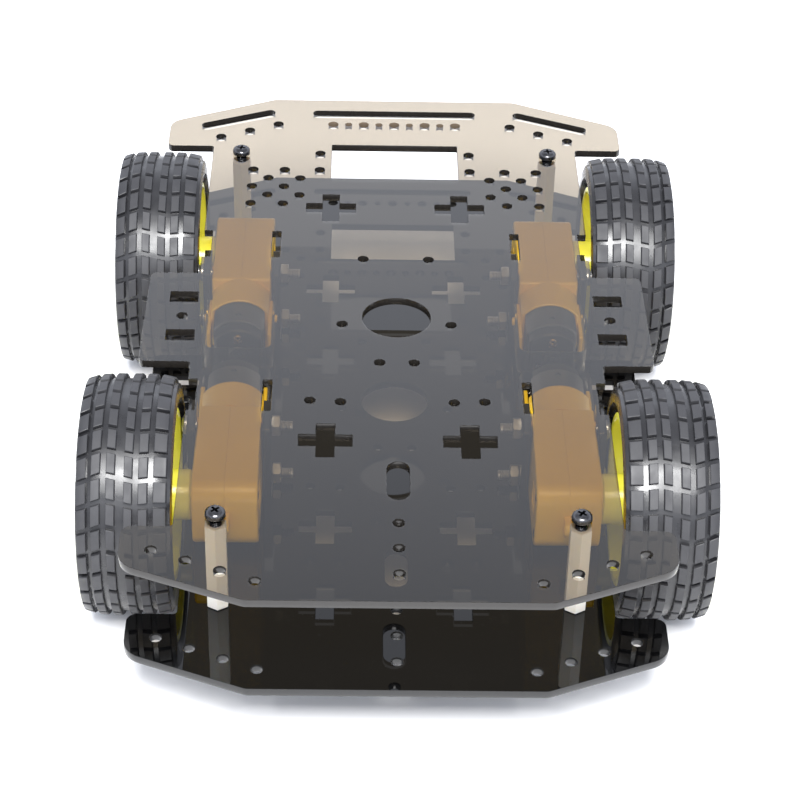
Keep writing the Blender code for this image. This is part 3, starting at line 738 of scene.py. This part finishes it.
def make_spacers():
    """Four hexagonal spacers, each with a screw down through the upper deck and one up through the lower."""
    across_flats = SPACER[1].x - SPACER[0].x
    bore = SCREW_RADIUS + 0.15 * MM
    body = prism([hexagon(across_flats, pi / 6), circle(0, 0, bore, 24)],
                 edge_profile(-SPACER_LENGTH / 2, SPACER_LENGTH / 2, 0.3 * MM, 2))
    spacer = mesh_from("hex_spacer", body, [NYLON], 20)
    head_height = 2.1 * MM
    screw = machine_screw("deck_screw", head_height, 1.0 * MM, SCREW_LENGTH - head_height, BLACK_STEEL)
    for corner in WHEELS:
        x, y, z = centre(f"{corner}_spacer")
        piece(f"{corner}_hex_spacer", spacer, CHASSIS, [f"{corner}_spacer"], (x, y, z))
        twist = 0.4 + 0.9 * x / MOTOR_X + 0.5 * y / DECK_HALF_LENGTH
        for level, turn in (("top", pi), ("bottom", 0)):
            low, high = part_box(f"{corner}_{level}_screw")
            seat = high.z - head_height if level == "top" else low.z + head_height
            piece(f"{corner}_{level}_machine_screw", screw, CHASSIS,
                  [f"{corner}_{level}_screw"], (x, y, seat), (turn, 0, twist))


# ------------ motors

HOUSING_SCREWS = [(NOSE_Y - 3.4 * MM, 6.2 * MM), (NOSE_Y - 3.4 * MM, -6.2 * MM), (BOX_TAIL_Y + 3 * MM, 0)]


def arch_outline(half_width, radius):
    """(z, x) points of a round shape with flat sides."""
    steps = 14
    lean = asin(half_width / radius)
    turns = [-lean + 2 * lean * i / steps for i in range(steps + 1)]
    top = [(radius * cos(turn), radius * sin(turn)) for turn in turns]
    return top + [(-z, -x) for z, x in top]


def bolt_holes(y):
    return [circle(y, level * BOLT_HALF_SPACING, BOLT_HOLE_RADIUS, 24) for level in (-1, 1)]


def gearbox_half(side):
    """One half of the housing, from the seam out to its side face; side is -1 or 1."""
    half = GEARBOX_HALF_HEIGHT
    seam, face = 0.02 * MM, GEARBOX_HALF_WIDTH
    section = rounded([(NOSE_Y, -half, 5 * MM), (NOSE_Y, half, 5 * MM),
                       (BOX_TAIL_Y, half, 1 * MM), (BOX_TAIL_Y, -half, 1 * MM)], 10)
    shaft_hole = circle(0, 0, SHAFT_HOLE_RADIUS, 36)
    rounding = [station for station in edge_profile(seam, face, 0.7 * MM, 4) if station[0] > face / 2]
    stations = [(seam, 0.05 * MM), (seam + 0.05 * MM, 0)] + rounding
    body = prism([section] + bolt_holes(BOLT_Y) + [shaft_hole], stations, "X")
    raised = prism([circle(0, 0, 4.6 * MM, 40), shaft_hole],
                   [(face - 0.2 * MM, 0), (face + 0.12 * MM, 0), (face + 0.2 * MM, 0.1 * MM)], "X")
    for y, z in HOUSING_SCREWS:
        pocket = moved(peg(0, 3 * MM, 1.9 * MM), (face - 0.9 * MM, y, z))
        body = combine(body, pocket, "DIFFERENCE")
    body = merged(body, raised)
    if side < 0:
        body.transform(Matrix.Scale(-1, 4, (1, 0, 0)))
        bmesh.ops.reverse_faces(body, faces=body.faces)
    return body


def gearbox_screw():
    """A small pan-head screw in its pocket, head outwards along +X from the origin."""
    head = lathe([(-0.4 * MM, 0), (-0.4 * MM, 1.55 * MM), (0.2 * MM, 1.55 * MM), (0.5 * MM, 1.3 * MM),
                  (0.65 * MM, 0.7 * MM), (0.68 * MM, 0)], 24)
    recess = moved(cross_recess(0.5 * MM, 0.8 * MM, 0.2 * MM), (0.68 * MM, 0, 0), pi / 2, "Y")
    return combine(head, recess, "DIFFERENCE")


def hood_shape():
    """The arched hood over the can, open at its tail."""
    wall = 0.85 * MM
    outer = arch_outline(GEARBOX_HALF_WIDTH - 0.45 * MM, GEARBOX_HALF_HEIGHT)
    inner = arch_outline(7.6 * MM, GEARBOX_HALF_HEIGHT - wall)
    tail = [(HOOD_TAIL_Y, 0.3 * MM), (HOOD_TAIL_Y + 0.3 * MM, 0), (BOX_TAIL_Y + 0.3 * MM, 0)]
    return prism([outer, inner], tail, "Y")


def ear_shape():
    """The fixing ear in the middle of the nose."""
    radius = 2.5 * MM
    middle = EAR_TIP_Y - radius
    outline = rounded([(NOSE_Y - 1 * MM, -radius, 0), (EAR_TIP_Y, -radius, radius * 0.98),
                       (EAR_TIP_Y, radius, radius * 0.98), (NOSE_Y - 1 * MM, radius, 0)], 8)
    stations = edge_profile(-1.3 * MM, 1.3 * MM, 0.25 * MM, 2)
    return prism([outline, circle(middle, 0, 1.3 * MM, 24)], stations, "X")


def can_shape():
    """Drawn steel can with flat sides, a rolled tail edge and two dimples that hold the cap."""
    outline = arch_outline(7.5 * MM, 9.6 * MM)
    rolled = [(0, 0.55), (0.12, 0.25), (0.4, 0.05), (0.7, 0)]
    stations = [(CAN_TAIL_Y + along * MM, back * MM) for along, back in rolled]
    body = prism([outline], stations + [(BOX_TAIL_Y - 0.2 * MM, 0)], "Y")
    for sign in (-1, 1):
        dimple = peg(-1 * MM, 1 * MM, 0.8 * MM, 1.0 * MM, 20, "Z")
        body = combine(body, moved(dimple, (0, CAN_TAIL_Y + 3 * MM, sign * 10.1 * MM)), "DIFFERENCE")
    return body


def cap_shape():
    """Plastic end cap with a stepped bearing boss."""
    outline = arch_outline(6.8 * MM, 8.8 * MM)
    face = CAP_TAIL_Y + 1.6 * MM
    plate = prism([outline], [(face, 0.5 * MM), (face + 0.4 * MM, 0), (CAN_TAIL_Y + 0.5 * MM, 0)], "Y")
    boss = lathe([(CAP_TAIL_Y, 0), (CAP_TAIL_Y, 1.2 * MM), (CAP_TAIL_Y + 0.5 * MM, 1.2 * MM),
                  (CAP_TAIL_Y + 0.5 * MM, 2.6 * MM), (CAP_TAIL_Y + 0.8 * MM, 2.9 * MM),
                  (face + 0.3 * MM, 2.9 * MM), (face + 0.3 * MM, 0)], 32, "Y")
    return merged(plate, boss)


def terminal_shape():
    """Two brass solder tabs on the cap, each with its wire hole."""
    tabs = []
    for sign in (-1, 1):
        outline = rounded([(-1.1 * MM, -1.3 * MM, 0.3 * MM), (1.1 * MM, -1.3 * MM, 0.3 * MM),
                           (1.1 * MM, 1.5 * MM, 0.8 * MM), (-1.1 * MM, 1.5 * MM, 0.8 * MM)], 4)
        tab = prism([outline, circle(0, 0.5 * MM, 0.45 * MM, 16)], edge_profile(0, 0.35 * MM, 0.06 * MM, 1))
        tabs.append(moved(tab, (0, CAP_TAIL_Y + 1.75 * MM, sign * 5.4 * MM), pi / 2))
    return merged(*tabs)


LUG_Y = BOX_TAIL_Y - 5.6 * MM
LUG_RADIUS = 1.2 * MM


def arm_shape():
    """The two arms that run back along the can, each with a round lug for the strap."""
    start, half = BOX_TAIL_Y - 1 * MM, 3.5 * MM
    outline = rounded([(ARM_TAIL_Y, -half, 1 * MM), (start, -half, 0.3 * MM),
                       (start, half, 0.3 * MM), (ARM_TAIL_Y, half, 1 * MM)])
    root, shoulder, tip = ARM_SIDE - 0.3 * MM, ARM_SIDE + 1.2 * MM, ARM_SIDE + 1.4 * MM
    shapes = []
    for sign in (-1, 1):
        low, high = sorted((sign * (ARM_SIDE - 1.1 * MM), sign * ARM_SIDE))
        shapes.append(prism([outline], edge_profile(low, high, 0.25 * MM, 2), "X"))
        lug = lathe([(root, 0), (root, LUG_RADIUS), (shoulder, LUG_RADIUS), (tip, LUG_RADIUS - 0.2 * MM),
                     (tip, 0)], 24)
        shapes.append(moved(lug, (0, LUG_Y, 0), 0 if sign > 0 else pi, "Z"))
    return merged(*shapes)


def strap_shape():
    """The clear band from the housing's sides round behind the cap, with a hole for each lug."""
    inner, thickness, tail = ARM_SIDE + 0.15 * MM, 0.6 * MM, CAP_TAIL_Y - 0.3 * MM
    bend = 2.2 * MM
    side = [(inner, BOX_TAIL_Y - 2 * MM, 0), (inner, tail, bend)]
    inside = side + [(-x, y, radius) for x, y, radius in reversed(side)]
    outside = [(x + copysign(thickness, x), y - (thickness if y == tail else 0),
                radius + (thickness if y == tail else 0)) for x, y, radius in reversed(inside)]
    band = prism([rounded(inside + outside, 6)], edge_profile(-4 * MM, 4 * MM, 0.15 * MM, 2))
    reach = ARM_SIDE + 3 * MM
    punch = peg(-reach, reach, LUG_RADIUS + 0.15 * MM, segments=28)
    return combine(band, moved(punch, (0, LUG_Y, 0)), "DIFFERENCE")


def bracket_shape():
    """A T: its bar lies under the lower deck and its leg takes both motor bolts."""
    leg, bar, bar_height = 7 * MM, 11 * MM, 5 * MM
    shoulder = BRACKET_BOTTOM + bar_height
    outline = rounded([(-leg, shoulder, 0), (-leg, BRACKET_TOP, 1 * MM), (leg, BRACKET_TOP, 1 * MM),
                       (leg, shoulder, 0), (bar, shoulder, 0.5 * MM), (bar, BRACKET_BOTTOM, 1 * MM),
                       (-bar, BRACKET_BOTTOM, 1 * MM), (-bar, shoulder, 0.5 * MM)], 5)
    half = BRACKET_THICKNESS / 2
    return prism([outline] + bolt_holes(0), edge_profile(-half, half, 0.12 * MM, 2), "X", wall_material=1)


def housing_meshes():
    shapes = {"half_a": gearbox_half(-1), "half_b": gearbox_half(1), "hood": hood_shape(),
              "arms": arm_shape(), "ear": ear_shape()}
    return {part: mesh_from(f"gearbox_{part}", shape, [YELLOW_HOUSING]) for part, shape in shapes.items()}


def motor_meshes():
    """(piece, mesh, slot, CAD node) of all that the housing holds at its tail."""
    return [
        ("steel_can", mesh_from("steel_can", can_shape(), [CAN_STEEL]), "motor_metal", "motor_can"),
        ("end_cap", mesh_from("end_cap", cap_shape(), [CAP_PLASTIC]), "black_acrylic", "motor_can"),
        ("terminals", mesh_from("terminals", terminal_shape(), [BRASS]), "motor_metal", "motor_can"),
        ("clear_strap", mesh_from("clear_strap", strap_shape(), [CLEAR]), "strap_clear", "motor_strap"),
    ]


def make_motors():
    """Four motors with their brackets; the rear pair is turned round, so that the tails face each other."""
    housing = housing_meshes()
    motor = motor_meshes()
    small_screw = mesh_from("housing_screw", gearbox_screw(), [BLACK_STEEL])
    bracket = mesh_from("bracket_plate", bracket_shape(), [BLACK_SHEET, BLACK_EDGE])
    head_height = 1.6 * MM
    bolt_length = BOLT[1].x - BOLT[0].x - head_height
    bolt = machine_screw("motor_bolt", head_height, 6 * MM, bolt_length, ZINC)
    nut = hex_nut()
    nut_x = BRACKET[0].x - 0.15 * MM
    for corner, axle in WHEELS.items():
        sign = 1 if axle.x > 0 else -1
        forward = 1 if axle.y > 0 else -1
        place = Vector((sign * MOTOR_X, axle.y, axle.z))
        turn = (0, 0, 0 if forward > 0 else pi)
        for part, data in housing.items():
            piece(f"{corner}_gearbox_{part}", data, CHASSIS, [f"{corner}_gearbox"],
                  place, turn)
        for index, (y, z) in enumerate(HOUSING_SCREWS):
            inwards = Vector((-sign * (GEARBOX_HALF_WIDTH - 0.5 * MM), forward * y, z))
            piece(f"{corner}_housing_screw_{index + 1}", small_screw, CHASSIS, (),
                  place + inwards, (0.5 + index, 0, 0 if sign < 0 else pi))
        for part, data, finish, replaced in motor:
            piece(f"{corner}_{part}", data, CHASSIS, [f"{corner}_{replaced}"], place, turn)
        slot_y = axle.y + forward * BOLT_Y
        for side, x in BRACKET_X.items():
            piece(f"{corner}_{side}_bracket_plate", bracket, CHASSIS,
                  [f"{corner}_{side}_bracket"], (sign * x, slot_y, axle.z))
        across = (0, -sign * pi / 2, 0)
        for which, level in (("upper", 1), ("lower", -1)):
            bolt_node = f"{corner}_{which}_bolt"
            low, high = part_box(bolt_node)
            seat = high.x - head_height if sign > 0 else low.x + head_height
            z = axle.z + level * BOLT_HALF_SPACING
            piece(f"{bolt_node}_screw", bolt, CHASSIS, [bolt_node], (seat, slot_y, z), across)
            piece(f"{corner}_{which}_hex_nut", nut, CHASSIS, [bolt_node],
                  (sign * nut_x, slot_y, z), across)


# ------------ wheels

RIM_SEAT_RADIUS = 22.9 * MM
LIP_RADIUS = 24.0 * MM
BARREL_BORE = 21.5 * MM
HUB_RADIUS = 7.0 * MM
TREAD_DEPTH = 1.3 * MM
TREAD_ROWS = 30
BLOCK_LENGTH = 5.7 * MM
CROWN_EDGE = 12.3 * MM
CROWN_DROP = 1.3 * MM
# the next three in millimetres: first and last place of each column of blocks across the tyre,
# from its inner to its outer side
TREAD_COLUMNS = [(-11.6, -8.0), (-6.7, -4.1), (-2.7, -0.3), (1.9, 4.4), (5.8, 8.4), (9.5, 12.3)]
# places across the tyre and how far the rows run ahead there: the zigzag of the pattern
ZIGZAG = [(-11.6, -0.8), (-9.8, -0.5), (-3.4, -1.3), (5.1, 0.5), (12.3, -2.0)]
# distance in from a block's foot, and share of the block's height there
EDGE_STEPS = [(0.0, 0.0), (0.12, 0.9), (0.28, 1.0)]


def crown_radius(x):
    return TYRE_RADIUS - CROWN_DROP * (abs(x) / CROWN_EDGE) ** 4


def zigzag(x):
    places = [(at * MM, ahead * MM) for at, ahead in ZIGZAG]
    if x <= places[0][0]:
        return places[0][1]
    for (x0, a0), (x1, a1) in zip(places, places[1:]):
        if x <= x1:
            return a0 + (a1 - a0) * (x - x0) / (x1 - x0)
    return places[-1][1]


def tyre_shape():
    """One closed skin: tread blocks on a grid that follows the zigzag rows, shoulders, sidewalls, beads."""
    wide = TYRE_HALF_WIDTH / MM
    side = [(10.7, 23.0), (11.15, 23.9), (11.3, 24.9), (12.0, 25.4), (wide, 26.8), (wide - 0.05, 28.8),
            (wide - 0.15, 30.0), (wide - 0.3, 30.6)]
    lines = [(-x * MM, radius * MM, radius * MM) for x, radius in side]
    for first, last in TREAD_COLUMNS:
        steps = [(first + into, share) for into, share in EDGE_STEPS]
        steps += [(last - into, share) for into, share in reversed(EDGE_STEPS)]
        for place, share in steps:
            x = place * MM
            floor = crown_radius(x) - TREAD_DEPTH
            lines.append((x, floor, floor + TREAD_DEPTH * share))
    lines += [(x * MM, radius * MM, radius * MM) for x, radius in reversed(side)]
    pitch = 2 * pi * TYRE_RADIUS / TREAD_ROWS
    rows = [(into * MM, share) for into, share in EDGE_STEPS] + [(BLOCK_LENGTH / 2, 1.0)]
    rows += [(BLOCK_LENGTH - into * MM, share) for into, share in reversed(EDGE_STEPS)]
    rows.append(((BLOCK_LENGTH + pitch) / 2, 0.0))
    shape = bmesh.new()
    grid = []
    for row in range(TREAD_ROWS):
        for along, share in rows:
            ring = []
            for x, floor, top in lines:
                angle = (row * pitch + along + zigzag(x)) / TYRE_RADIUS
                radius = min(top, floor + TREAD_DEPTH * share)
                ring.append(shape.verts.new((x, radius * cos(angle), radius * sin(angle))))
            grid.append(ring)
    for ring, following in zip(grid, grid[1:] + grid[:1]):
        for i in range(len(lines)):
            j = (i + 1) % len(lines)
            shape.faces.new((ring[i], following[i], following[j], ring[j])).smooth = True
    bmesh.ops.recalc_face_normals(shape, faces=shape.faces)
    return shape


def rim_shape():
    """Barrel with two lips, dished web with six windows and ribs, hub with a shaft socket; +X is outside."""
    half = RIM_HALF_WIDTH
    socket, socket_end, screw_hole = 2.85 * MM, -6.0 * MM, 1.3 * MM
    lip = [(0, LIP_RADIUS - 0.3 * MM), (0.15 * MM, LIP_RADIUS - 0.05 * MM), (0.4 * MM, LIP_RADIUS),
           (0.58 * MM, LIP_RADIUS - 0.2 * MM), (0.65 * MM, RIM_SEAT_RADIUS)]
    outside = [(-half + along, radius) for along, radius in lip]
    outside += [(half - along, radius) for along, radius in reversed(lip)]
    front = [
        (half, BARREL_BORE + 1.0 * MM), (half - 0.25 * MM, BARREL_BORE + 0.7 * MM), (3.2 * MM, BARREL_BORE),
        (1.6 * MM, BARREL_BORE - 0.5 * MM), (1.0 * MM, BARREL_BORE - 1.6 * MM),
        (1.0 * MM, HUB_RADIUS + 1.2 * MM), (1.4 * MM, HUB_RADIUS + 0.3 * MM),
        (2.6 * MM, HUB_RADIUS - 0.4 * MM), (3.0 * MM, HUB_RADIUS - 0.9 * MM),
        (3.0 * MM, screw_hole + 0.4 * MM), (2.6 * MM, screw_hole),
    ]
    hub = [
        (socket_end, screw_hole), (socket_end, socket), (HUB_START + 0.3 * MM, socket),
        (HUB_START, socket + 0.3 * MM), (HUB_START, HUB_RADIUS - 0.5 * MM),
        (HUB_START + 0.5 * MM, HUB_RADIUS),
    ]
    back = [
        (-3.2 * MM, HUB_RADIUS + 0.15 * MM), (-2.3 * MM, HUB_RADIUS + 0.6 * MM),
        (-2.0 * MM, HUB_RADIUS + 1.5 * MM), (-2.0 * MM, BARREL_BORE - 1.6 * MM),
        (-2.6 * MM, BARREL_BORE - 0.5 * MM), (-4.2 * MM, BARREL_BORE),
        (-half + 0.25 * MM, BARREL_BORE + 0.7 * MM), (-half, BARREL_BORE + 1.0 * MM),
    ]
    rim = lathe(outside + front + hub + back, 96, closed=True)
    near, far = 10.0 * MM, 18.8 * MM
    window = rounded([(near, -1.9 * MM, 0.8 * MM), (far, -5.4 * MM, 1.6 * MM), (far, 5.4 * MM, 1.6 * MM),
                      (near, 1.9 * MM, 0.8 * MM)], 5)
    cuts = [moved(prism([window], [(-5 * MM, 0), (5 * MM, 0)], "X"), turn=pi * i / 3) for i in range(6)]
    return merged(combine(rim, merged(*cuts), "DIFFERENCE"), *rib_shapes())


def rib_shapes():
    """Twelve low ribs between the windows, six on each face of the web."""
    outline = strip(6.5 * MM, BARREL_BORE + 0.1 * MM, 0.6 * MM)
    bevel = 0.15 * MM
    ribs = []
    for i in range(6):
        for low, high in ((-6.5 * MM, -1.9 * MM), (0.9 * MM, 2.4 * MM)):
            stations = [(low, bevel if low < 0 else 0), (low + bevel, 0), (high - bevel, 0),
                        (high, bevel if low > 0 else 0)]
            ribs.append(moved(prism([outline], stations, "X"), turn=pi * (i + 0.5) / 3))
    return ribs


def shaft_shape():
    """A white double-D shaft with a chamfered tip and a moulded centre dimple."""
    radius, flat = 2.7 * MM, 1.85 * MM
    outline = [(max(-flat, min(flat, y)), z) for y, z in circle(0, 0, radius, 48)]
    start, end = SHAFT[0].x - MOTOR_X, SHAFT[1].x - MOTOR_X
    body = prism([outline], [(start, 0), (end - 0.3 * MM, 0), (end, 0.3 * MM)], "X")
    dimple = moved(peg(0, 1 * MM, 0.7 * MM, 1.0 * MM, 20), (end - 0.6 * MM, 0, 0))
    return combine(body, dimple, "DIFFERENCE")


def make_wheels():
    tyre = mesh_from("tyre_tread", tyre_shape(), [RUBBER], 28)
    rim = mesh_from("rim_shell", rim_shape(), [YELLOW_RIM])
    shaft = mesh_from("double_d_shaft", shaft_shape(), [WHITE_PLASTIC])
    for index, (corner, axle) in enumerate(WHEELS.items()):
        sign = 1 if axle.x > 0 else -1
        body = f"{corner}_wheel"
        turn = 0 if sign > 0 else pi
        spin = pi / 2 * index
        piece(f"{corner}_tyre_tread", tyre, body, [f"{corner}_tyre"], axle, (spin, 0, turn))
        piece(f"{corner}_rim_shell", rim, body, [f"{corner}_rim"], axle, (spin, 0, turn))
        piece(f"{corner}_double_d_shaft", shaft, body, [f"{corner}_output_shaft"],
              (sign * MOTOR_X, axle.y, axle.z), (0, 0, turn))
        frame["nodes"][f"{corner}_output_gear"].material_slots[0].material = WHITE_PLASTIC


# ------------ studio

def make_floor():
    shape = bmesh.new()
    bmesh.ops.create_grid(shape, x_segments=8, y_segments=8, size=3.0)
    floor = add_object("studio_floor", mesh_from("studio_floor", shape, [floor_material()]))
    floor.location.z = -0.05 * MM


def make_softbox():
    """A square lamp above the camera that faces the middle of the floor."""
    data = bpy.data.lights.new("softbox", "AREA")
    data.size = 0.45
    data.energy = 26
    light = add_object("softbox", data)
    light.location = (0, -0.62, 0.92)
    light.rotation_euler = (-light.location).to_track_quat("-Z", "Y").to_euler()


def make_world():
    """A white studio that is brightest low above its horizon and dimmer overhead."""
    world = bpy.data.worlds.new("studio")
    world.use_nodes = True
    tree = world.node_tree
    background = tree.nodes["Background"]
    direction = node(tree, "SeparateXYZ", {0: node(tree, "TexCoord").outputs["Generated"]})
    fade = node(tree, "ValToRGB", {0: direction.outputs[2]})
    stops = [(0.0, 0.45), (0.33, 0.6), (0.45, 0.97), (0.574, 0.76), (0.682, 0.46), (0.80, 0.34), (1.0, 0.30)]
    for index, (height, value) in enumerate(stops):
        stop = fade.color_ramp.elements[index] if index < 2 else fade.color_ramp.elements.new(height)
        stop.position = height
        stop.color = (value * 0.93, value * 0.97, value * 1.08, 1)
    tree.links.new(fade.outputs[0], background.inputs["Color"])
    background.inputs["Strength"].default_value = 2.4
    bpy.context.scene.world = world


def make_camera():
    """The photograph's own viewpoint."""
    data = bpy.data.cameras.new("camera")
    data.lens = 105.8
    data.sensor_width = 36.0
    data.clip_start = 0.01
    yaw, pitch, roll = radians(-1.3203), radians(36.675), radians(1.4565)
    forward = Vector((-sin(yaw) * cos(pitch), cos(yaw) * cos(pitch), -sin(pitch)))
    right = Vector((cos(yaw), sin(yaw), 0))
    up = right.cross(forward)
    tilted_right = cos(roll) * right + sin(roll) * up
    tilted_up = cos(roll) * up - sin(roll) * right
    camera = add_object("camera", data)
    turned = Matrix((tilted_right, tilted_up, -forward)).transposed()
    camera.matrix_world = Matrix.Translation((-0.01134, -0.56488, 0.44202)) @ turned.to_4x4()
    bpy.context.scene.camera = camera


make_camera()
make_decks()
make_spacers()
make_motors()
make_wheels()
make_floor()
make_world()
make_softbox()
bpy.context.scene.view_settings.view_transform = "Standard"
